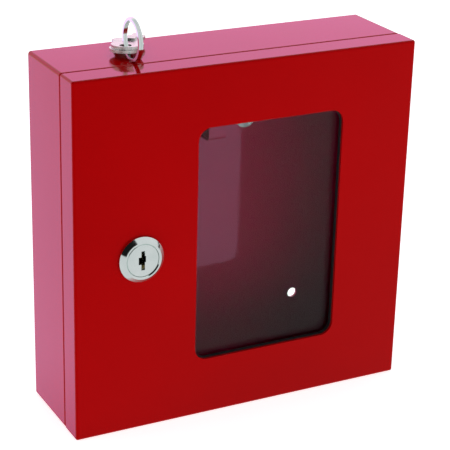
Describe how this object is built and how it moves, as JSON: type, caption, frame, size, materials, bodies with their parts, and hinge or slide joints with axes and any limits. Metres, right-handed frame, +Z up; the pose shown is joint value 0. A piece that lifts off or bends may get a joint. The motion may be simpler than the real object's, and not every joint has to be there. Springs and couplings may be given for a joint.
{
  "type": "emergency key box",
  "caption": "Square red sheet-steel key box with a hinged glazed door, a cam lock at its left, a key hook inside, wall holes in its back, and keys on a split ring on its top.",
  "frame": {"origin": "centre of the four wall holes, on the back face", "axes": "+X to the right seen from the front, +Y into the wall, +Z up"},
  "size_m": [0.15, 0.0476, 0.1673],
  "materials": {
    "red_paint": "gloss powder coat",
    "chrome_plate": "polished",
    "zinc_steel": "zinc plated",
    "nickel_key": "nickel plated",
    "brass_wafer": "stamped",
    "spring_wire": "drawn wire",
    "black_rubber": "matt",
    "clear_glass": "clear, thin"
  },
  "bodies": {
    "cabinet": {"body_band": "red_paint", "back_panel": "red_paint", "key_hook": "red_paint", "hook_rivet": "red_paint", "hinge_leaf_body": "red_paint", "hinge_pin": "zinc_steel"},
    "door": {"door_panel": "red_paint", "hinge_leaf_door": "red_paint", "window_gasket": "black_rubber", "glass_pane": "clear_glass", "channel_left": "red_paint", "channel_right": "red_paint", "channel_bottom": "red_paint", "clip_stud": "zinc_steel", "clip_spacer": "zinc_steel", "clip_nut": "zinc_steel", "lock_housing": "chrome_plate", "lock_washer": "zinc_steel", "lock_nut": "zinc_steel"},
    "clip": {"glass_clip": "zinc_steel"},
    "lock_cylinder": {"lock_plug": "chrome_plate", "wafers": "brass_wafer", "wafer_springs": "spring_wire", "stop_washer": "zinc_steel", "cam": "zinc_steel", "cam_washer": "zinc_steel", "cam_screw": "zinc_steel"},
    "first_key": {"key_lower": "nickel_key"},
    "second_key": {"key_upper": "nickel_key"},
    "ring": {"key_ring": "chrome_plate"}
  },
  "joints": [
    {"name": "door_hinge", "type": "hinge", "parent": "cabinet", "child": "door", "pos_m": [0.0729, -0.0353, 0], "axis": [0, 0, 1], "range_deg": [0, 95]},
    {"name": "lock_turn", "type": "hinge", "parent": "door", "child": "lock_cylinder", "pos_m": [-0.047, -0.04, 0], "axis": [0, 1, 0], "range_deg": [0, 90]},
    {"name": "glass_clip_turn", "type": "hinge", "parent": "door", "child": "clip", "pos_m": [0, -0.0395, 0.06], "axis": [0, 1, 0], "range_deg": [0, 90]},
    {"name": "keys_lift", "type": "slide", "parent": "cabinet", "child": "first_key", "axis": [0, 0, 1], "range_m": [0, 0.06]},
    {"name": "key_swivel", "type": "hinge", "parent": "first_key", "child": "second_key", "pos_m": [-0.0436, -0.02258, 0.0792], "axis": [0.0204, 0.0668, 0.9976], "range_deg": [-25, 40]},
    {"name": "ring_tip", "type": "hinge", "parent": "first_key", "child": "ring", "pos_m": [-0.0436, -0.02364, 0.078], "axis": [0, 1, 0], "range_deg": [-15, 15]}
  ]
}
